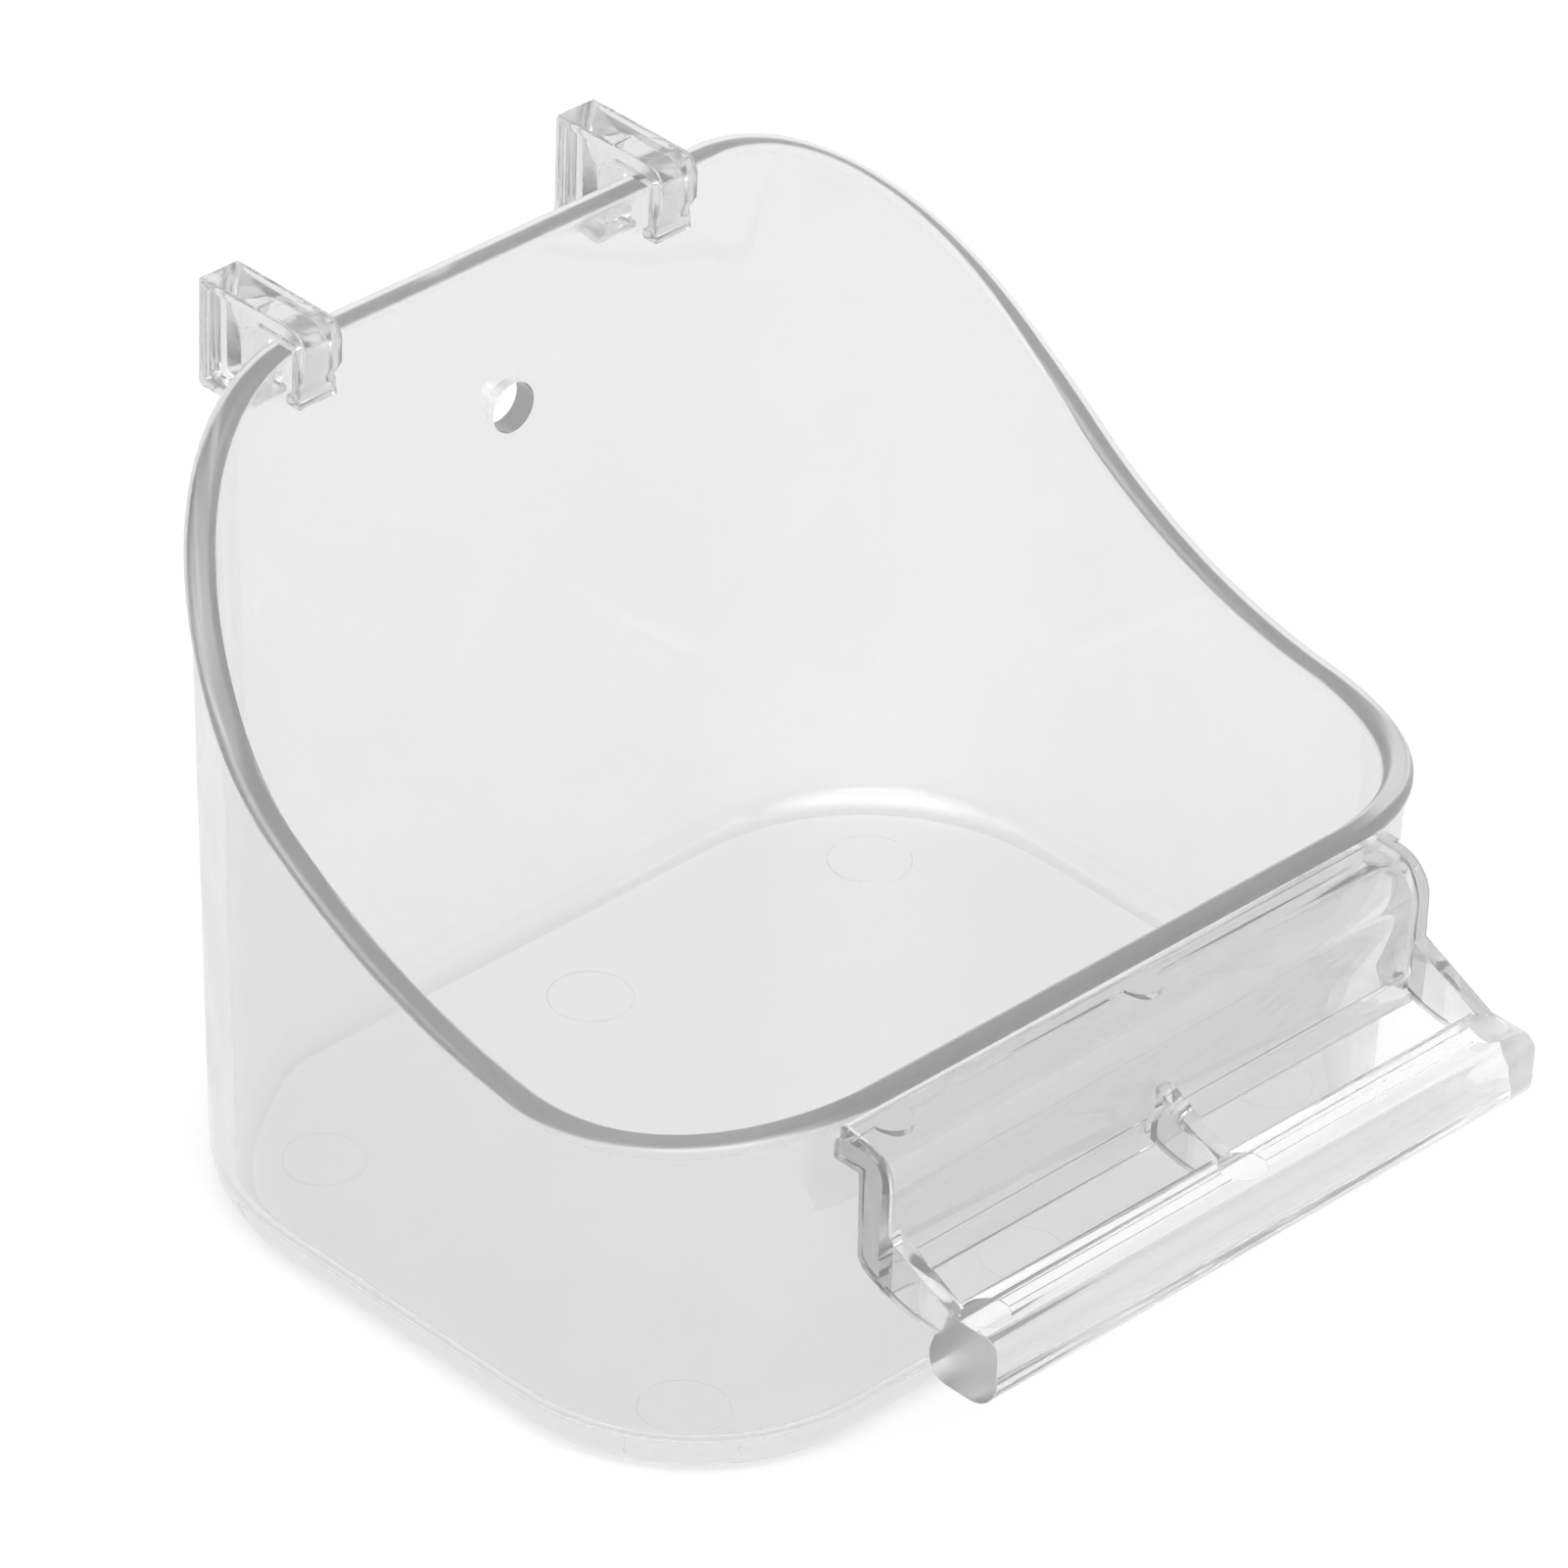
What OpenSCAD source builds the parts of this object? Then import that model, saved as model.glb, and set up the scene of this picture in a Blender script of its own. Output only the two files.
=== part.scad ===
// Hanging bird bath for a cage: a clear tub with a tall back, two clips that straddle the
// back rim and hook over a cage wire, and a landing perch that snaps on the low front rim.
// Millimetres. X runs along the back wall, +Y points to the back, +Z is up.
// The origin is the middle of the tub's plan, on the surface that the tub stands on.

/* [Tub] */
// Width of the tub at the top of its back wall
tub_w = 130; // [118:1:160]
// Depth of the tub from front to back, at the same level
tub_d = 102; // [96:1:130]
// Height of the back wall
back_h = 94; // [88:1:104]
// Height of the lowest point of the scooped sides
scoop_low = 45; // [40:1:50]
// Slope of the straight ramps that rise from the scoop to the back wall, in degrees
ramp_angle = 46.4; // [38:0.2:56]
// Distance from the front of the rim to the lowest point of the scoop
scoop_setback = 20.6; // [14:0.2:26]
// Plan radius of the two back corners
back_corner_r = 34.6; // [26:0.2:40]
// Plan radius of the two front corners
front_corner_r = 29.5; // [24:0.2:34]
// Thickness of the walls
wall = 2.8; // [2:0.1:3.2]
// Width of the rim's flat top
rim_w = 3.4; // [3.4:0.1:4.4]
// Height of the small bead under the rim
bead_h = 1.3; // [0.8:0.1:2]
// Rounding of the rim's two edges
rim_round = 0.7; // [0.3:0.1:1.1]
// Thickness of the floor
floor_t = 3; // [2:0.1:5]
// Rounding of the bottom edge, outside
bottom_r = 5; // [2:0.5:8]
// Fillet between the floor and the walls, inside
fillet_r = 3.5; // [1.5:0.5:8]
// Draft of the walls, in degrees
draft = 1.65; // [0.5:0.05:1.8]
// Diameter of the round hole in the back wall
hole_d = 6.2; // [4:0.1:10]
// Distance from the top of the back wall down to the middle of the hole
hole_drop = 20.8; // [18:0.2:30]

/* [Clips] */
// Width of a clip, along the back wall
hook_w = 5.6; // [4:0.1:8]
// Distance of the left clip from the middle of the tub
left_hook_x = 31.5; // [10:0.5:31.5]
// Distance of the right clip from the middle of the tub
right_hook_x = 22; // [10:0.5:31.5]
// Thickness of the bridge over the rim
bridge_t = 3.5; // [2.5:0.1:5]
// Free space for the cage wire, behind the rim
wire_gap = 3.9; // [2.5:0.1:6]
// Thickness of the rear leg, front to back
leg_t = 6.4; // [4.5:0.1:9]
// Height of the rear leg, with the bridge
leg_h = 13.9; // [11:0.1:20]
// Thickness of the tongue inside the tub
tongue_t = 3.1; // [2.8:0.1:5]
// Height of the tongue, with the bridge
tongue_h = 9.7; // [9.2:0.1:12]
// Thickness of the web in the middle of a clip
web_t = 4; // [3:0.1:5]
// Width of the border round the web
border = 1.2; // [0.8:0.1:1.6]
// Play between the tongue and the rim
hook_play = 0.6; // [0.5:0.05:0.9]

/* [Perch] */
// Length of the perch, along the front rim
perch_w = 83.6; // [60:0.2:86]
// Offset of the perch from the middle of the tub
perch_shift = -0.9; // [-1.5:0.1:1.5]
// Drop of the perch's top below the rim's flat top
perch_drop = 0.8; // [0.6:0.1:1.2]
// Width of the raised land along the perch's top, next to the rim
land_w = 2.6; // [1.5:0.1:3]
// Height of the land
land_h = 0.4; // [0.2:0.05:0.5]
// Diameter of the three round pads along the land
pad_d = 5; // [3.6:0.1:6]
// Distance that the skirt stands out from the rim
skirt_out = 7.7; // [7:0.1:11]
// Height of the skirt
skirt_h = 18.4; // [17:0.2:22]
// Thickness of the skirt
skirt_t = 2; // [1.5:0.1:2.6]
// Radius of the skirt's shoulder
shoulder_r = 4.8; // [3.6:0.1:6]
// Height of the thinner strip along the skirt's lower edge
strip_h = 4; // [3:0.1:5]
// Distance that the strip is set back from each face of the skirt
strip_set = 0.35; // [0.2:0.05:0.5]
// Thickness of the end ribs and of the three arms
arm_t = 2; // [1.5:0.1:3]
// Reach of the bar's front from the rim
bar_reach = 24.5; // [22:0.1:30]
// Depth of the bar, front to back
bar_d = 9.8; // [8:0.1:11]
// Height of the bar
bar_h = 9.2; // [8:0.1:11]
// Drop from the rim to the top of the bar
bar_drop = 15.5; // [14:0.1:18]
// Gap between the perch and the wall that it hangs on
perch_gap = 0.3; // [0.2:0.05:0.4]

/* [Hidden] */
$fn = 48;
eps = 0.01;

// Half sizes of the rim, and how far the bead stands out from the wall
half_w = tub_w / 2;
half_d = tub_d / 2;
lip_out = rim_w - wall;

// The draft moves each level inwards as it goes down
function inset(z) = (back_h - z) * tan(draft);

// Side view of the rim: a straight ramp comes down from the top of the back wall, and an arc
// runs on from it tangentially, level at the scoop's lowest point
scoop_y = scoop_setback - half_d;
ramp_rise = tan(ramp_angle);
tangent = half_d - (back_h - scoop_low) / ramp_rise - scoop_y;
scoop_r = tangent / tan(ramp_angle / 2);
scoop_z = scoop_low + scoop_r;
ramp_y = scoop_y + scoop_r * sin(ramp_angle);
function rim_z(y) = y < ramp_y
    ? scoop_z - sqrt(scoop_r * scoop_r - (y - scoop_y) * (y - scoop_y))
    : back_h - (half_d - y) * ramp_rise;

// Plan of the rim, anticlockwise: each station is [x, y, outward x, outward y]
corner_n = 14;
side_n = 10;
function corner(cx, cy, r, start) = [
    for (i = [0 : corner_n])
        let (a = start + 90 * i / corner_n)
        [cx + r * cos(a), cy + r * sin(a), cos(a), sin(a)]
];
function side(x, y0, y1) = [
    for (i = [1 : side_n - 1])
        [x, y0 + (y1 - y0) * i / side_n, sign(x), 0]
];
fx = half_w - front_corner_r;
fy = half_d - front_corner_r;
bx = half_w - back_corner_r;
by = half_d - back_corner_r;
plan = concat(
    corner(fx, -fy, front_corner_r, -90),
    side(half_w, -fy, by),
    corner(bx, by, back_corner_r, 0),
    corner(-bx, by, back_corner_r, 90),
    side(-half_w, by, -fy),
    corner(-fx, -fy, front_corner_r, 180)
);

// Section of the wall where the rim is h high, as [distance inwards, z], from the middle of
// the underside round the rim to the floor inside
base_in = lip_out + inset(bottom_r);
fillet_z = floor_t + fillet_r;
function section(h) = concat(
    [for (a = [0 : 22.5 : 90]) [base_in + bottom_r * (1 - sin(a)), bottom_r * (1 - cos(a))]],
    [[lip_out + inset(h - bead_h - lip_out), h - bead_h - lip_out]],
    [[inset(h - bead_h), h - bead_h]],
    [for (a = [0 : 30 : 90]) [inset(h) + rim_round * (1 - cos(a)), h - rim_round * (1 - sin(a))]],
    [for (a = [0 : 30 : 90])
        [inset(h) + rim_w - rim_round * (1 - sin(a)), h - rim_round * (1 - cos(a))]],
    [for (a = [0 : 30 : 90])
        [inset(fillet_z) + rim_w + fillet_r * (1 - cos(a)), floor_t + fillet_r * (1 - sin(a))]]
);

count = len(plan);
rings = len(section(back_h));
shell_points = [
    for (s = plan)
        for (q = section(rim_z(s[1])))
            [s[0] - s[2] * q[0], s[1] - s[3] * q[0], q[1]]
];
function at(i, j) = (i % count) * rings + j;
shell_faces = concat(
    [for (i = [0 : count - 1]) for (j = [0 : rings - 2])
        [at(i, j), at(i, j + 1), at(i + 1, j + 1)]],
    [for (i = [0 : count - 1]) for (j = [0 : rings - 2])
        [at(i, j), at(i + 1, j + 1), at(i + 1, j)]],
    [[for (i = [0 : count - 1]) at(i, 0)]],
    [[for (i = [0 : count - 1]) at(count - 1 - i, rings - 1)]]
);

module tub() {
    color([0.86, 0.88, 0.89, 0.5])
    difference() {
        polyhedron(points = shell_points, faces = shell_faces, convexity = 6);
        translate([0, half_d - rim_w, back_h - hole_drop])
            rotate([90, 0, 0])
            cylinder(d = hole_d, h = 4 * rim_w, center = true);
    }
}

// What a rounded corner takes off: the corner is at the origin and the solid lies towards +x, +y
module corner_cut(r) {
    difference() {
        translate([-1, -1])
            square([r + 1, r + 1]);
        translate([r, r])
            circle(r = r);
    }
}

// Clips. The profile lies in the plane across the rim, x to the back and y up
tongue_back = half_d - rim_w - hook_play;
tongue_front = tongue_back - tongue_t;
leg_front = half_d + wire_gap;
leg_rear = leg_front + leg_t;
hook_top = back_h + bridge_t;
leg_foot = hook_top - leg_h;
tongue_foot = hook_top - tongue_h;
top_round = 2.4;
foot_round = 0.8;
rear_round = 0.6;
slot_round = 1.5;
notch_in = 1.1;
notch_top = hook_top - 5.2;
notch_foot = hook_top - 7;

module hook_profile() {
    difference() {
        translate([tongue_front, leg_foot])
            square([leg_rear - tongue_front, leg_h]);
        // The slot: the rim stands in its front half, and the cage wire in its rear half
        translate([tongue_back, leg_foot - 1])
            square([leg_front - tongue_back, leg_h - bridge_t + 1 - slot_round]);
        translate([tongue_back, leg_foot])
            square([leg_front - tongue_back - slot_round, leg_h - bridge_t]);
        translate([leg_front - slot_round, back_h - slot_round])
            circle(r = slot_round);
        // The tongue ends above the foot of the leg, and springs forward at its end
        translate([tongue_front - 1, leg_foot - 1])
            square([tongue_t + 2, leg_h - tongue_h + 1]);
        polygon([
            [tongue_front - 1, notch_top],
            [tongue_front, notch_top],
            [tongue_front + notch_in, notch_foot],
            [tongue_front + notch_in - 0.5, tongue_foot - 1],
            [tongue_front - 1, tongue_foot - 1]
        ]);
        translate([tongue_front, hook_top])
            mirror([0, 1])
            corner_cut(top_round);
        translate([leg_rear, hook_top])
            mirror([1, 0])
            mirror([0, 1])
            corner_cut(rear_round);
        translate([leg_rear, leg_foot])
            mirror([1, 0])
            corner_cut(foot_round);
        translate([leg_front, leg_foot])
            corner_cut(foot_round);
    }
}

// The recess in each face of a clip. It is open to the slot
module hook_recess() {
    edge = border * 0.6;
    translate([leg_front - 1, leg_foot + border])
        square([leg_t - border + 1, leg_h - 2 * border]);
    translate([tongue_front + notch_in + edge, back_h - 1])
        square([leg_rear - border - tongue_front - notch_in - edge, bridge_t + 1 - border]);
    translate([tongue_front + notch_in + edge, tongue_foot + border])
        square([tongue_t - notch_in - edge + 1, tongue_h - 2 * border]);
}

module clip(x) {
    color([0.84, 0.86, 0.87, 0.5])
    translate([x, 0, 0])
    difference() {
        rotate([90, 0, 90])
            linear_extrude(height = hook_w, center = true)
            hook_profile();
        for (side = [-1, 1])
            translate([side * (hook_w + web_t) / 4 + side * eps, 0, 0])
            rotate([90, 0, 90])
            linear_extrude(height = (hook_w - web_t) / 2 + 2 * eps, center = true)
            hook_recess();
    }
}

module hook_left() {
    clip(-left_hook_x);
}

module hook_right() {
    clip(right_hook_x);
}

// Perch. Its profiles are drawn as [distance out from the rim, height from the rim's top]
front_z = rim_z(-half_d);
front_y = -half_d + inset(front_z);
skirt_top = -perch_drop;
skirt_foot = skirt_top - skirt_h;
corner_back = front_corner_r - sqrt(pow(front_corner_r, 2) - pow(perch_w / 2 - fx, 2));
nose_out = -lip_out - corner_back * 0.4 + perch_gap;
under_bead = -bead_h - lip_out - perch_gap;
shelf = -4.8;
rib_out = 3.2;
bar_back = bar_reach - bar_d;
bar_top = -bar_drop;
bar_foot = bar_top - bar_h;
arm_mid = -10.4;
strip_top = skirt_foot + strip_h;

module skirt_outline() {
    difference() {
        translate([perch_gap, skirt_foot])
            square([skirt_out - perch_gap, skirt_h]);
        translate([skirt_out, skirt_top])
            mirror([1, 0])
            mirror([0, 1])
            corner_cut(shoulder_r);
    }
}

// The skirt's shell down to its lower strip, with the land along its top
module skirt_section() {
    difference() {
        skirt_outline();
        difference() {
            translate([-1, skirt_foot - 1])
                square([skirt_out - skirt_t + 1, skirt_h - skirt_t + 1]);
            translate([skirt_out - skirt_t, skirt_top - skirt_t])
                mirror([1, 0])
                mirror([0, 1])
                corner_cut(shoulder_r - skirt_t);
        }
        translate([-1, skirt_foot - 1])
            square([skirt_out + 2, strip_h + 1]);
    }
    translate([perch_gap, skirt_top - skirt_t / 2])
        square([land_w - perch_gap, skirt_t / 2 + land_h]);
}

module strip_section() {
    translate([skirt_out - skirt_t + strip_set, skirt_foot])
        square([skirt_t - 2 * strip_set, strip_h + 1]);
}

module arm_outline() {
    polygon([
        [skirt_out - skirt_t, arm_mid + 0.8],
        [skirt_out - 0.5, arm_mid],
        [bar_back + 3, bar_top + 0.1],
        [bar_back + 3, bar_top - 3.7],
        [bar_back + 0.6, bar_top - 3.7],
        [skirt_out + 3.8, bar_top - 3.4],
        [skirt_out + 1.3, bar_top - 2.9],
        [skirt_out - 0.7, bar_top - 2.2],
        [skirt_out - skirt_t, bar_top - 1.8]
    ]);
}

// End rib: a nose under the rim's bead, a plate inside the skirt, and the arm
module rib_outline() {
    intersection() {
        skirt_outline();
        polygon([
            [perch_gap, 0],
            [skirt_out, 0],
            [skirt_out, bar_top - 2.4],
            [skirt_out - 0.7, bar_top - 2.2],
            [rib_out + 2.2, bar_top - 1.7],
            [rib_out + 1.2, bar_top - 1.1],
            [rib_out + 0.4, bar_top],
            [rib_out, shelf],
            [perch_gap, shelf]
        ]);
    }
    translate([nose_out, shelf])
        square([perch_gap - nose_out + 0.5, under_bead - shelf]);
    arm_outline();
}

module bar_outline() {
    low_r = 3.2;
    difference() {
        translate([bar_back, bar_foot])
            square([bar_d, bar_h]);
        polygon([
            [bar_back - 1, bar_top + 1],
            [bar_back + 2.2, bar_top + 1],
            [bar_back + 1.9, bar_top],
            [bar_back, bar_top - 5.6],
            [bar_back - 1, bar_top - 5.6]
        ]);
        translate([bar_back, bar_foot])
            corner_cut(low_r - 0.6);
        translate([bar_reach, bar_foot])
            mirror([1, 0])
            corner_cut(low_r + 0.6);
        translate([bar_reach, bar_top])
            mirror([1, 0])
            mirror([0, 1])
            corner_cut(1.9);
    }
}

// A slice of the perch, from one x to another
module slice(from, to) {
    translate([(from + to) / 2, front_y, front_z])
        rotate([90, 0, -90])
        linear_extrude(height = to - from, center = true)
        children();
}

module perch() {
    left = perch_shift - perch_w / 2;
    right = perch_shift + perch_w / 2;
    color([0.85, 0.87, 0.88, 0.5])
    union() {
        slice(left, right) skirt_section();
        slice(left + arm_t / 2, right - arm_t / 2) strip_section();
        slice(left, right) bar_outline();
        slice(left, left + arm_t) rib_outline();
        slice(right - arm_t, right) rib_outline();
        slice(perch_shift - arm_t / 2, perch_shift + arm_t / 2) arm_outline();
        // Round pads along the land, cut square where they would meet the rim
        difference() {
            for (x = [left + pad_d / 2 + 2.8, perch_shift + 1, right - pad_d / 2 - 0.8])
                translate([x, front_y - land_w, front_z + skirt_top - skirt_t / 2])
                cylinder(d = pad_d, h = skirt_t / 2 + land_h);
            translate([left, front_y - perch_gap, front_z - 5])
                cube([perch_w, 10, 10]);
        }
    }
}

tub();
hook_left();
hook_right();
perch();
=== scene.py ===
import math
import bmesh
import bpy
from mathutils import Matrix, Vector


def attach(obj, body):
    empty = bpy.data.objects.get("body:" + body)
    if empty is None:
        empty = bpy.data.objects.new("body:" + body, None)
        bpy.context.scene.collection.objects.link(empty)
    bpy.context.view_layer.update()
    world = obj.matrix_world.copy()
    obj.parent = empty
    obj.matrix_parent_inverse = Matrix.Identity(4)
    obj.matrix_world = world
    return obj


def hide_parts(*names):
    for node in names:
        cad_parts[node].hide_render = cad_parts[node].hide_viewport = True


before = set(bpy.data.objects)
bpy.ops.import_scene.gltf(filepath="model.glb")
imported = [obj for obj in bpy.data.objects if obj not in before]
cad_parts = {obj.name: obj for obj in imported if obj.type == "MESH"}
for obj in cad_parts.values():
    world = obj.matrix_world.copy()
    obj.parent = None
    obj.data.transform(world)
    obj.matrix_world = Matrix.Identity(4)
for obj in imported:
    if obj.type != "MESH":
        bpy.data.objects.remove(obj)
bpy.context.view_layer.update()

# Tub
# The basin is one injection moulding in clear plastic: a rounded tub with drafted walls, a scooped
# rim with a small bead under it, a tall back wall and one round hole. It is modelled at its full
# height as an outer and an inner shell, and its rim is then sunk to the line of the scoop.
TUB_W, TUB_D, BACK_H = 0.130, 0.102, 0.094
BACK_R, FRONT_R = 0.0346, 0.0295
SCOOP_LOW, SCOOP_R, SCOOP_SETBACK = 0.045, 0.081, 0.0206
RIM_W, LIP_OUT, BEAD_H, RIM_ROUND = 0.0034, 0.0006, 0.0013, 0.0011
FLOOR_T, BOTTOM_R, FILLET_R = 0.003, 0.005, 0.0035
DRAFT = math.tan(math.radians(1.65))
HOLE_D, HOLE_Z, HOLE_INSET, HOLE_CUT = 0.0062, 0.0732, 0.0026, 0.02
PIN_RING_R, PIN_RING_T = 0.005, 0.00012
PIN_RINGS = (
    (-0.0435, 0.028), (-0.001, 0.031), (0.0425, 0.0295),
    (-0.0455, -0.031), (0.001, -0.035), (0.0455, -0.031),
)

# Short rings beside each curve keep the flat faces flat, and the curves have this many steps
SPARE, LIP_RING, RIM_RING, WALL_RING, FLOOR_RING = 0.0001, 0.0004, 0.0012, 0.0008, 0.0006
CORNER_STEPS, ROUND_STEPS, RIM_STEPS = 28, 8, 7
SIDE_CUTS, END_CUTS, LONG_EDGE = 21, 11, 0.02
SUNK_BAND = 0.0045
NEAR, SAME = 1e-5, 1e-6


def take_up(piece):
    """Makes the piece the only one that is selected."""
    bpy.ops.object.select_all(action="DESELECT")
    bpy.context.view_layer.objects.active = piece
    piece.select_set(True)


def edit(piece):
    """Opens one piece in edit mode with nothing selected."""
    take_up(piece)
    bpy.ops.object.mode_set(mode="EDIT")
    bpy.ops.mesh.select_all(action="DESELECT")


def pick(piece, kind, test):
    """Selects the faces, edges or vertices of the piece in edit mode that pass a test of place."""
    mode = {"faces": "FACE", "edges": "EDGE", "verts": "VERT"}[kind]
    bpy.ops.mesh.select_mode(type=mode)
    bpy.ops.mesh.select_all(action="DESELECT")
    mesh = bmesh.from_edit_mesh(piece.data)
    for part in getattr(mesh, kind):
        part.select_set(bool(test(part)))
    mesh.select_flush_mode()
    bmesh.update_edit_mesh(piece.data)


def finish_modifier(piece, kind, **settings):
    """Adds one modifier and applies it."""
    take_up(piece)
    modifier = piece.modifiers.new(kind.title(), kind)
    for name, value in settings.items():
        setattr(modifier, name, value)
    bpy.ops.object.modifier_apply(modifier=modifier.name)


def join_to_first(pieces):
    """Joins the pieces into the first of them."""
    bpy.ops.object.select_all(action="DESELECT")
    for piece in pieces:
        piece.select_set(True)
    bpy.context.view_layer.objects.active = pieces[0]
    bpy.ops.object.join()


def long_side(edge, axis):
    """Whether an edge of the plan is one of its long straight sides, at one place along an axis."""
    level = abs(edge.verts[0].co[axis] - edge.verts[1].co[axis]) < SAME
    return level and edge.calc_length() > LONG_EDGE


def plan_of_rim(name):
    """The rim's plan as one flat face, with its four rounded corners."""
    bpy.ops.object.select_all(action="DESELECT")
    bpy.ops.mesh.primitive_plane_add(size=1, location=(0, 0, BACK_H))
    piece = bpy.context.object
    piece.name = name
    piece.scale = (TUB_W, TUB_D, 1)
    bpy.ops.object.transform_apply(location=True, rotation=True, scale=True)
    edit(piece)
    for radius, side in ((BACK_R, 1), (FRONT_R, -1)):
        pick(piece, "verts", lambda v: v.co.y * side > TUB_D / 2 - NEAR and abs(v.co.x) > TUB_W / 2 - NEAR)
        bpy.ops.mesh.bevel(
            affect="VERTICES", offset_type="OFFSET", offset=radius, segments=CORNER_STEPS, profile=0.5)
    for axis, cuts in ((0, SIDE_CUTS), (1, END_CUTS)):
        pick(piece, "edges", lambda e: long_side(e, axis))
        bpy.ops.mesh.subdivide(number_cuts=cuts)
    pick(piece, "faces", lambda f: True)
    return piece


def step_in(inwards, down):
    """Takes the one face that is left of the plan a step inwards and a step down."""
    bpy.ops.mesh.select_mode(type="FACE")
    bpy.ops.mesh.inset(thickness=max(inwards, SAME), depth=0, use_even_offset=True, use_boundary=True)
    bpy.ops.transform.translate(value=(0, 0, -down))


def wall_down(height):
    """Follows the draft down by a height."""
    step_in(height * DRAFT, height)


def quarter_round(radius):
    """Rounds the wall into the level floor, and leaves edit mode."""
    for turn in range(ROUND_STEPS):
        a, b = math.pi / 2 * turn / ROUND_STEPS, math.pi / 2 * (turn + 1) / ROUND_STEPS
        step_in(radius * (math.cos(a) - math.cos(b)), radius * (math.sin(b) - math.sin(a)))
    step_in(FLOOR_RING, 0)
    bpy.ops.object.mode_set(mode="OBJECT")


# The outer shell: bead, wall and rounded bottom edge
tub = plan_of_rim("tub_body")
wall_down(RIM_ROUND + SPARE)
wall_down(BEAD_H - RIM_ROUND - SPARE)
step_in(LIP_OUT + LIP_OUT * DRAFT, LIP_OUT)
wall_down(LIP_RING)
wall_down(BACK_H - BEAD_H - LIP_OUT - LIP_RING - BOTTOM_R - WALL_RING)
wall_down(WALL_RING)
quarter_round(BOTTOM_R)

# The inner shell: level rim, wall, fillet and floor
inside = plan_of_rim("tub_inside")
step_in(RIM_W, 0)
wall_down(RIM_ROUND + SPARE)
wall_down(RIM_RING)
wall_down(BACK_H - RIM_ROUND - SPARE - RIM_RING - FLOOR_T - FILLET_R - WALL_RING)
wall_down(WALL_RING)
quarter_round(FILLET_R)

# The two shells meet at the rim's top, and both edges of the rim are rounded
join_to_first([tub, inside])
edit(tub)
bpy.ops.mesh.select_all(action="SELECT")
bpy.ops.mesh.remove_doubles(threshold=2 * SAME)
bpy.ops.mesh.normals_make_consistent(inside=False)


def rim_edge(edge):
    """Whether an edge lies at the top of the rim, between its level face and a wall."""
    at_top = all(v.co.z > BACK_H - NEAR for v in edge.verts)
    return at_top and len({face.normal.z > 0.9 for face in edge.link_faces}) == 2


pick(tub, "edges", rim_edge)
bpy.ops.mesh.bevel(
    affect="EDGES", offset_type="OFFSET", offset=RIM_ROUND, segments=RIM_STEPS, profile=0.5)

# The rim is sunk along the draft to the line of the scoop: an arc, then a straight ramp up to the back
scoop_y, scoop_z = SCOOP_SETBACK - TUB_D / 2, SCOOP_LOW + SCOOP_R
away = math.hypot(TUB_D / 2 - scoop_y, BACK_H - scoop_z)
touch = math.atan2(BACK_H - scoop_z, TUB_D / 2 - scoop_y) - math.acos(SCOOP_R / away)
ramp_y, ramp_z = scoop_y + SCOOP_R * math.cos(touch), scoop_z + SCOOP_R * math.sin(touch)


def rim_height(y):
    """The height of the rim's top at a place from front to back."""
    if y < ramp_y:
        return scoop_z - math.sqrt(SCOOP_R ** 2 - (y - scoop_y) ** 2)
    return ramp_z + (y - ramp_y) * (BACK_H - ramp_z) / (TUB_D / 2 - ramp_y)


def station(x, y):
    """The point of the rim's plan that a point belongs to, and the direction straight outwards there."""
    radius = BACK_R if y > 0 else FRONT_R
    cx, cy = TUB_W / 2 - radius, TUB_D / 2 - radius
    past_x, past_y = abs(x) - cx, abs(y) - cy
    if past_x > 0 and past_y > 0:
        out = Vector((past_x * math.copysign(1, x), past_y * math.copysign(1, y))).normalized()
        return Vector((math.copysign(cx, x), math.copysign(cy, y))) + out * radius, out
    if past_x > past_y:
        return Vector((math.copysign(TUB_W / 2, x), y)), Vector((math.copysign(1, x), 0))
    return Vector((x, math.copysign(TUB_D / 2, y))), Vector((0, math.copysign(1, y)))


mesh = bmesh.from_edit_mesh(tub.data)
on_rim = mesh.verts.layers.float.new("rim")
for v in mesh.verts:
    v[on_rim] = float(v.co.z > BACK_H - BEAD_H - SPARE)
    if v.co.z > BACK_H - SUNK_BAND:
        place, out = station(v.co.x, v.co.y)
        sink = BACK_H - rim_height(place.y)
        v.co -= Vector((out.x * sink * DRAFT, out.y * sink * DRAFT, sink))
bmesh.update_edit_mesh(tub.data)
bpy.ops.mesh.select_all(action="SELECT")
bpy.ops.mesh.normals_make_consistent(inside=False)
bpy.ops.object.mode_set(mode="OBJECT")


def round_cutter(sides, radius, length, place, turn=(0, 0, 0)):
    """A cylinder that is to be cut out of a piece."""
    bpy.ops.object.select_all(action="DESELECT")
    bpy.ops.mesh.primitive_cylinder_add(
        vertices=sides, radius=radius, depth=length, location=place, rotation=turn)
    return bpy.context.object


def ring_cutter(x, y):
    """A thin ring that is half sunk in the underside."""
    bpy.ops.object.select_all(action="DESELECT")
    bpy.ops.mesh.primitive_torus_add(
        major_segments=48, minor_segments=8, major_radius=PIN_RING_R, minor_radius=PIN_RING_T,
        location=(x, y, 0))
    return bpy.context.object


def cut_away(piece, cutters):
    """Takes all the cutters out of the piece at once."""
    join_to_first(cutters)
    finish_modifier(piece, "BOOLEAN", operation="DIFFERENCE", solver="EXACT", object=cutters[0])
    bpy.data.objects.remove(cutters[0])


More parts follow.
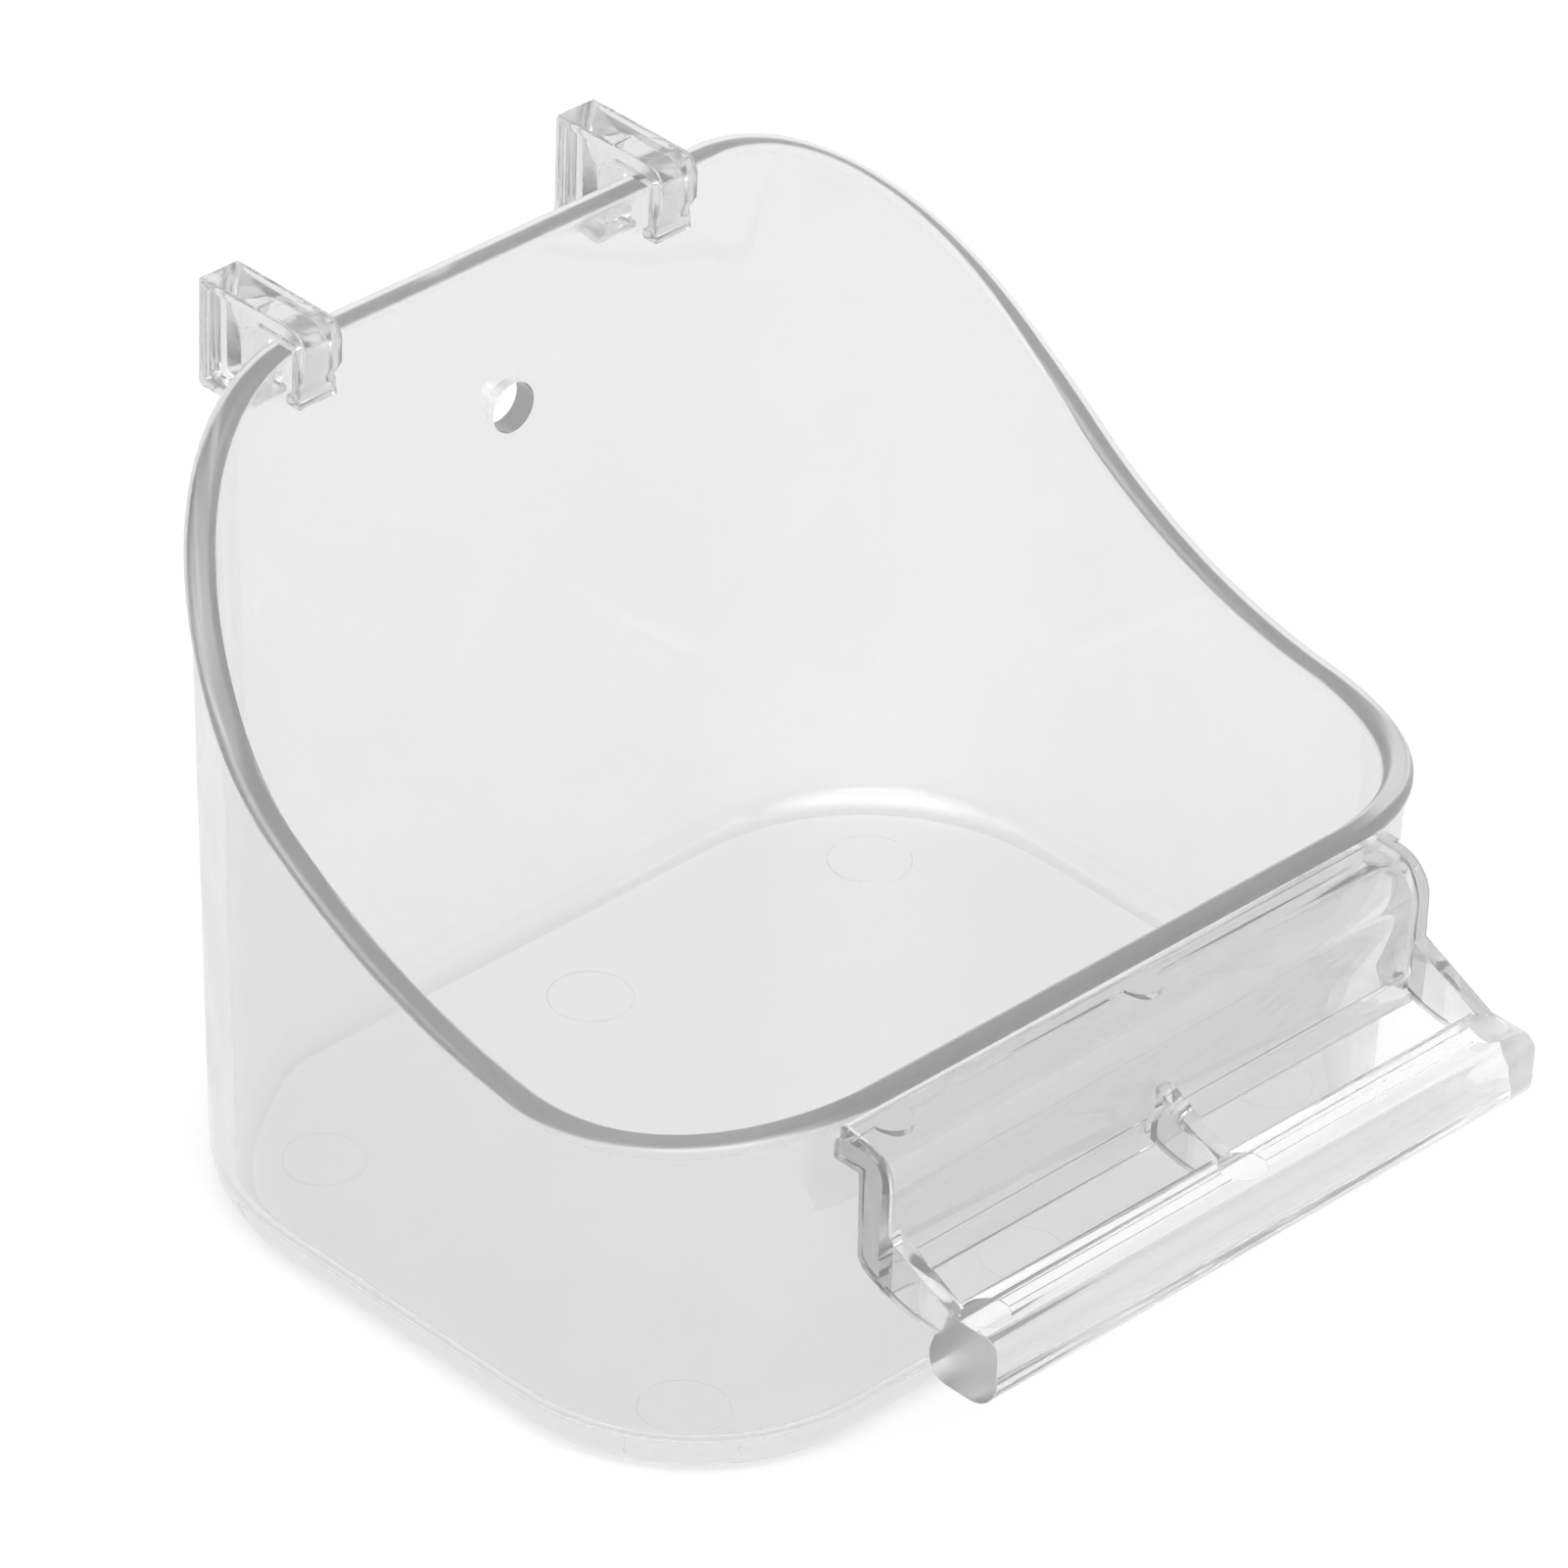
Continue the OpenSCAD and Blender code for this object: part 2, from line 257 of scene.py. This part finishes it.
# The hole is cut through the back wall, and the mould's pins leave thin rings in the underside
hole_place = (0, TUB_D / 2 - HOLE_INSET, HOLE_Z)
hole = round_cutter(64, HOLE_D / 2, HOLE_CUT, hole_place, (math.pi / 2, 0, 0))
cut_away(tub, [hole] + [ring_cutter(x, y) for x, y in PIN_RINGS])
take_up(tub)
bpy.ops.object.shade_smooth_by_angle(angle=math.radians(40))


def new_node(tree, kind, sockets=None, **settings):
    """Adds a node to a tree, with values for its sockets and its own settings."""
    node = tree.nodes.new(kind)
    for name, value in settings.items():
        setattr(node, name, value)
    for name, value in (sockets or {}).items():
        node.inputs[name].default_value = value
    return node


def maths(tree, operation, first, second):
    """The socket of one step of arithmetic on two sockets or numbers."""
    step = new_node(tree, "ShaderNodeMath", operation=operation)
    for slot, value in enumerate((first, second)):
        if isinstance(value, (int, float)):
            step.inputs[slot].default_value = value
        else:
            tree.links.new(value, step.inputs[slot])
    return step.outputs[0]


def moulded_skin():
    """Shared effect: the faint waves and the uneven polish that a mould leaves in clear plastic."""
    group = bpy.data.node_groups.new("moulded_skin", "ShaderNodeTree")
    for name, value in (("Wave size", 60.0), ("Wave depth", 0.15), ("Shade", 0.92)):
        socket = group.interface.new_socket(name=name, in_out="INPUT", socket_type="NodeSocketFloat")
        socket.default_value = value
    for name, kind in (("Colour", "Color"), ("Roughness", "Float"), ("Height", "Float")):
        group.interface.new_socket(name=name, in_out="OUTPUT", socket_type="NodeSocket" + kind)
    link = group.links.new
    given, made = new_node(group, "NodeGroupInput").outputs, new_node(group, "NodeGroupOutput").inputs
    place = new_node(group, "ShaderNodeTexCoord").outputs["Object"]
    waves = new_node(group, "ShaderNodeTexNoise", {"Detail": 1.0})
    link(place, waves.inputs["Vector"])
    link(given["Wave size"], waves.inputs["Scale"])
    link(maths(group, "MULTIPLY", waves.outputs["Fac"], given["Wave depth"]), made["Height"])
    clouds = new_node(group, "ShaderNodeTexNoise", {"Scale": 90.0, "Detail": 2.0})
    link(place, clouds.inputs["Vector"])
    rough = new_node(group, "ShaderNodeMapRange", {"To Min": 0.015, "To Max": 0.06})
    link(clouds.outputs["Fac"], rough.inputs["Value"])
    link(rough.outputs[0], made["Roughness"])
    shade = new_node(group, "ShaderNodeMapRange", {"To Min": 0.985, "To Max": 1.015})
    link(clouds.outputs["Fac"], shade.inputs["Value"])
    tone = maths(group, "MULTIPLY", shade.outputs[0], given["Shade"])
    grey = new_node(group, "ShaderNodeCombineColor")
    for channel in range(3):
        link(tone, grey.inputs[channel])
    link(grey.outputs[0], made["Colour"])
    return group


SKIN = moulded_skin()
WAVE_BUMP = 0.0005

# Lamplight passes the walls, and hardly any passes the thick floor, which leaves a shadow under it
SHADE_FROM, SHADE_TO = 0.003, 0.007
LIGHT_PAST_FLOOR, LIGHT_PAST_WALL = 0.05, 0.86


def clear_plastic(name, shade, wave_size, wave_depth):
    """Clear colourless plastic. It lets most light past to what lies behind it, as the real thing does."""
    material = bpy.data.materials.new(name)
    material.use_nodes = True
    tree = material.node_tree
    link = tree.links.new
    plastic = tree.nodes["Principled BSDF"]
    plastic.inputs["IOR"].default_value = 1.5
    plastic.inputs["Transmission Weight"].default_value = 0.86
    skin = new_node(tree, "ShaderNodeGroup", name="Skin", node_tree=SKIN)
    for socket, value in (("Wave size", wave_size), ("Wave depth", wave_depth), ("Shade", shade)):
        skin.inputs[socket].default_value = value
    bump = new_node(tree, "ShaderNodeBump", {"Distance": WAVE_BUMP})
    link(skin.outputs["Height"], bump.inputs["Height"])
    link(bump.outputs["Normal"], plastic.inputs["Normal"])
    link(skin.outputs["Colour"], plastic.inputs["Base Color"])
    link(skin.outputs["Roughness"], plastic.inputs["Roughness"])
    place = new_node(tree, "ShaderNodeSeparateXYZ", name="Place")
    link(new_node(tree, "ShaderNodeTexCoord").outputs["Object"], place.inputs[0])
    passed = new_node(tree, "ShaderNodeMapRange", {
        "From Min": SHADE_FROM, "From Max": SHADE_TO,
        "To Min": LIGHT_PAST_FLOOR, "To Max": LIGHT_PAST_WALL})
    link(place.outputs["Z"], passed.inputs["Value"])
    through = new_node(tree, "ShaderNodeBsdfTransparent")
    link(passed.outputs[0], through.inputs["Color"])
    mix = new_node(tree, "ShaderNodeMixShader")
    link(new_node(tree, "ShaderNodeLightPath").outputs["Is Shadow Ray"], mix.inputs["Fac"])
    link(plastic.outputs["BSDF"], mix.inputs[1])
    link(through.outputs["BSDF"], mix.inputs[2])
    link(mix.outputs["Shader"], tree.nodes["Material Output"].inputs["Surface"])
    return material


def roughen(material, mask, amount):
    """Makes clear plastic satin where a mask is 1."""
    tree = material.node_tree
    skin, plastic = tree.nodes["Skin"], tree.nodes["Principled BSDF"]
    rough = maths(tree, "ADD", skin.outputs["Roughness"], maths(tree, "MULTIPLY", mask, amount))
    tree.links.new(rough, plastic.inputs["Roughness"])


# The rim's edge is satin, which makes it an even grey
RIM_SATIN = 0.25
tub_plastic = clear_plastic("clear_tub_plastic", 0.86, 45.0, 0.15)
rim = new_node(tub_plastic.node_tree, "ShaderNodeAttribute", attribute_name="rim")
roughen(tub_plastic, rim.outputs["Fac"], RIM_SATIN)
tub.data.materials.clear()
tub.data.materials.append(tub_plastic)
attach(tub, "root")
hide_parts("tub")

# Clips
# Two small mouldings of the same clear plastic straddle the back rim. Each has a rear leg that hooks
# over a cage wire, a springy tongue inside the tub, and a shallow recess in each side.
CLIP_EASE, SMOOTH_UNDER, FLAT_WITHIN = 0.00025, math.radians(35), math.radians(0.5)
CLIP_PIN_R, CLIP_PIN_DEEP, CLIP_PIN_Y, CLIP_TOP = 0.0023, 0.0003, 0.0488, 0.0975
clip_plastic = clear_plastic("clear_clip_plastic", 0.78, 120.0, 0.1)


def finished_copy(node, name, edge_round):
    """A copy of a solid with its flat faces whole again and its edges eased, as a mould leaves them."""
    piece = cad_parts[node].copy()
    piece.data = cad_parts[node].data.copy()
    piece.name = name
    piece.parent = None
    piece.matrix_world = Matrix.Identity(4)
    bpy.context.scene.collection.objects.link(piece)
    edit(piece)
    bpy.ops.mesh.select_all(action="SELECT")
    bpy.ops.mesh.remove_doubles(threshold=SAME)
    bpy.ops.mesh.dissolve_limited(angle_limit=FLAT_WITHIN)
    bpy.ops.object.mode_set(mode="OBJECT")
    finish_modifier(
        piece, "BEVEL", width=edge_round, segments=3, limit_method="ANGLE", angle_limit=SMOOTH_UNDER)
    bpy.ops.object.shade_smooth_by_angle(angle=SMOOTH_UNDER)
    return piece


# Each clip has one round pin mark on its top
for side, x in (("left", -0.0315), ("right", 0.022)):
    clip = finished_copy("hook_" + side, "clip_" + side, CLIP_EASE)
    cut_away(clip, [round_cutter(40, CLIP_PIN_R, CLIP_PIN_DEEP, (x, CLIP_PIN_Y, CLIP_TOP))])
    clip.data.materials.clear()
    clip.data.materials.append(clip_plastic)
    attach(clip, "root")
    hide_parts("hook_" + side)

# Perch
# The landing perch is one more clear moulding: a curved skirt that snaps under the bead of the front
# rim, with end plates, three thin arms and a bar for the bird's feet.
PERCH_X, PERCH_EASE = -0.0009, 0.0002
GRIP_YS, GRIP_Z, GRIP_R, GRIP_LONG = (-0.0676, -0.0686, -0.0702), 0.03222, 0.0002, 0.0822
BAR_PIN_XS, BAR_PIN_Y, BAR_PIN_Z = (-0.0395, -0.0004, 0.0378), -0.0692, 0.03216
BAR_PIN_R, BAR_PIN_DEEP = 0.0027, 0.0003
perch = finished_copy("perch", "landing_perch", PERCH_EASE)

# Three fine grip lines run along the top of the bar, and pin marks stand where the arms run into it
lying = (0, math.pi / 2, 0)
cut_away(perch, [round_cutter(12, GRIP_R, GRIP_LONG, (PERCH_X, y, GRIP_Z), lying) for y in GRIP_YS])
cut_away(perch, [round_cutter(40, BAR_PIN_R, BAR_PIN_DEEP, (x, BAR_PIN_Y, BAR_PIN_Z)) for x in BAR_PIN_XS])
bpy.ops.object.shade_smooth_by_angle(angle=SMOOTH_UNDER)

# The outer faces of the two end plates are darkened with painted shade, the thick bar is lightened with
# painted light, and the bar's two caps, where the mould's gates were cut off, are satin
CAP_FROM, BAR_BEFORE, PLATE_BEHIND = 0.0416, -0.0625, -0.0584
PERCH_SHADE, BAR_PAINTED_LIGHT, PLATE_PAINTED_SHADE, CAP_SATIN = 0.82, 0.13, 0.34, 0.4
perch_plastic = clear_plastic("clear_perch_plastic", PERCH_SHADE, 80.0, 0.12)
tree = perch_plastic.node_tree
place = tree.nodes["Place"].outputs
across = maths(tree, "ABSOLUTE", maths(tree, "SUBTRACT", place["X"], PERCH_X), 0)
in_cap = maths(tree, "GREATER_THAN", across, CAP_FROM)
in_bar = maths(tree, "LESS_THAN", place["Y"], BAR_BEFORE)
in_plate = maths(tree, "MULTIPLY", in_cap, maths(tree, "GREATER_THAN", place["Y"], PLATE_BEHIND))
# Painted light: the base colour of the thick bar is made lighter
painted_bar_light = maths(tree, "MULTIPLY", in_bar, BAR_PAINTED_LIGHT)
# Painted shade: the base colour of the end plates' outer faces is made darker
painted_plate_shade = maths(tree, "MULTIPLY", in_plate, PLATE_PAINTED_SHADE)
tone = maths(tree, "ADD", PERCH_SHADE, maths(tree, "SUBTRACT", painted_bar_light, painted_plate_shade))
tree.links.new(tone, tree.nodes["Skin"].inputs["Shade"])
roughen(perch_plastic, maths(tree, "MULTIPLY", in_bar, in_cap), CAP_SATIN)
perch.data.materials.clear()
perch.data.materials.append(perch_plastic)
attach(perch, "root")
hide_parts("perch")

# Studio
# A white table runs on behind the object under soft lamps. What the camera and the clear plastic see
# of it is white, and it keeps a light shadow.
TABLE_R, TABLE_Z = 3.0, 0.0001
TABLE_SHADE, TABLE_SEEN, TABLE_GLOW = 0.8, 0.64, 0.48
bpy.ops.object.select_all(action="DESELECT")
bpy.ops.mesh.primitive_circle_add(
    vertices=64, radius=TABLE_R, fill_type="NGON", location=(0, 0, TABLE_Z))
table = bpy.context.object
table.name = "table"


def grey(level):
    """A neutral grey."""
    return (level, level, level, 1)


def looked_at(tree):
    """The light path's sockets, and a mask that is 1 where the camera, gloss or clear plastic looks."""
    path = new_node(tree, "ShaderNodeLightPath").outputs
    seen = maths(tree, "MAXIMUM", path["Is Camera Ray"], path["Is Glossy Ray"])
    return path, maths(tree, "MAXIMUM", seen, path["Is Transmission Ray"])


def blend(tree, kind, first, second):
    """The node that mixes one shader with another, or adds them up."""
    node = new_node(tree, kind)
    start = len(node.inputs) - 2
    tree.links.new(first.outputs[0], node.inputs[start])
    tree.links.new(second.outputs[0], node.inputs[start + 1])
    return node


white = bpy.data.materials.new("white_table")
white.use_nodes = True
tree = white.node_tree
tree.nodes.remove(tree.nodes["Principled BSDF"])
lit = new_node(tree, "ShaderNodeBsdfDiffuse", {"Color": grey(TABLE_SHADE)})
lit_seen = new_node(tree, "ShaderNodeBsdfDiffuse", {"Color": grey(TABLE_SEEN)})
glow = new_node(tree, "ShaderNodeEmission", {"Strength": TABLE_GLOW})
mix = blend(tree, "ShaderNodeMixShader", lit, blend(tree, "ShaderNodeAddShader", lit_seen, glow))
tree.links.new(looked_at(tree)[1], mix.inputs["Fac"])
tree.links.new(mix.outputs[0], tree.nodes["Material Output"].inputs["Surface"])
table.data.materials.append(white)

# The room is white where it is looked at, a little greyer high up, and soft where light is gathered
ROOM_SOFT, ROOM_HIGH, GREY_FROM, GREY_TO = 0.68, 0.65, 0.45, 0.85
world = bpy.data.worlds.new("studio")
bpy.context.scene.world = world
world.use_nodes = True
tree = world.node_tree
tree.nodes.clear()
path, seen = looked_at(tree)
seen = maths(tree, "MULTIPLY", seen, maths(tree, "LESS_THAN", path["Diffuse Depth"], 0.5))
direction = new_node(tree, "ShaderNodeTexCoord").outputs["Generated"]
height = new_node(tree, "ShaderNodeSeparateXYZ")
tree.links.new(direction, height.inputs[0])
ramp = new_node(tree, "ShaderNodeValToRGB")
for stop, position, level in zip(ramp.color_ramp.elements, (GREY_FROM, GREY_TO), (1, ROOM_HIGH)):
    stop.position, stop.color = position, grey(level)
tree.links.new(height.outputs["Z"], ramp.inputs["Fac"])
backdrop = new_node(tree, "ShaderNodeBackground")
tree.links.new(ramp.outputs["Color"], backdrop.inputs["Color"])
soft = new_node(tree, "ShaderNodeBackground", {"Color": grey(ROOM_SOFT)})
room = blend(tree, "ShaderNodeMixShader", soft, backdrop)
tree.links.new(seen, room.inputs["Fac"])

# A wide soft box overhead, which only gloss shows
BOX_TOWARDS, BOX_EDGE, BOX_FULL, BOX_STRENGTH = (-0.39, -0.39, 0.834), 0.74, 0.92, 4.0
towards = new_node(tree, "ShaderNodeVectorMath", {1: BOX_TOWARDS}, operation="DOT_PRODUCT")
tree.links.new(direction, towards.inputs[0])
window = new_node(tree, "ShaderNodeMapRange", {
    "From Min": BOX_EDGE, "From Max": BOX_FULL, "To Max": BOX_STRENGTH})
tree.links.new(towards.outputs["Value"], window.inputs["Value"])
only_gloss = maths(tree, "MULTIPLY", path["Is Glossy Ray"], seen)
box = new_node(tree, "ShaderNodeBackground")
tree.links.new(maths(tree, "MULTIPLY", window.outputs[0], only_gloss), box.inputs["Strength"])
whole = blend(tree, "ShaderNodeAddShader", room, box)
tree.links.new(whole.outputs[0], new_node(tree, "ShaderNodeOutputWorld").inputs["Surface"])


def soft_lamp(name, place, target, wide, high, watts):
    """One soft box, turned to its target."""
    lamp = bpy.data.lights.new(name, "AREA")
    lamp.shape, lamp.size, lamp.size_y, lamp.energy = "RECTANGLE", wide, high, watts
    holder = bpy.data.objects.new(name, lamp)
    bpy.context.scene.collection.objects.link(holder)
    holder.location = place
    holder.rotation_euler = (Vector(target) - Vector(place)).to_track_quat("-Z", "Y").to_euler()


LAMP_TARGET = (0, 0, 0.03)
soft_lamp("key_lamp", (-0.62, -0.62, 1.33), LAMP_TARGET, 1.2, 0.4, 6)
soft_lamp("front_lamp", (-1.1, -1.1, 0.7), LAMP_TARGET, 1.2, 1.0, 4)

# Camera
# A long lens looks down on the front left corner, as the photograph was taken.
LENS, SENSOR, DISTANCE, LOOK_AT = 231.39, 36, 1.113779, (-0.000598, 0.001761, 0.045697)
azimuth, elevation, roll = math.radians(-45.534), math.radians(33.973), math.radians(2.314)
back = Vector((
    math.sin(azimuth) * math.cos(elevation), -math.cos(azimuth) * math.cos(elevation),
    math.sin(elevation)))
level_right = Vector((math.cos(azimuth), math.sin(azimuth), 0))
level_up = back.cross(level_right)
right = level_right * math.cos(roll) + level_up * math.sin(roll)
up = level_up * math.cos(roll) - level_right * math.sin(roll)
eye = Vector(LOOK_AT) + back * DISTANCE
camera = bpy.data.objects.new("camera", bpy.data.cameras.new("camera"))
bpy.context.scene.collection.objects.link(camera)
camera.data.lens = LENS
camera.data.sensor_width = SENSOR
camera.matrix_world = Matrix((
    (right.x, up.x, back.x, eye.x),
    (right.y, up.y, back.y, eye.y),
    (right.z, up.z, back.z, eye.z),
    (0, 0, 0, 1)))
bpy.context.scene.camera = camera
bpy.context.scene.view_settings.view_transform = "Standard"
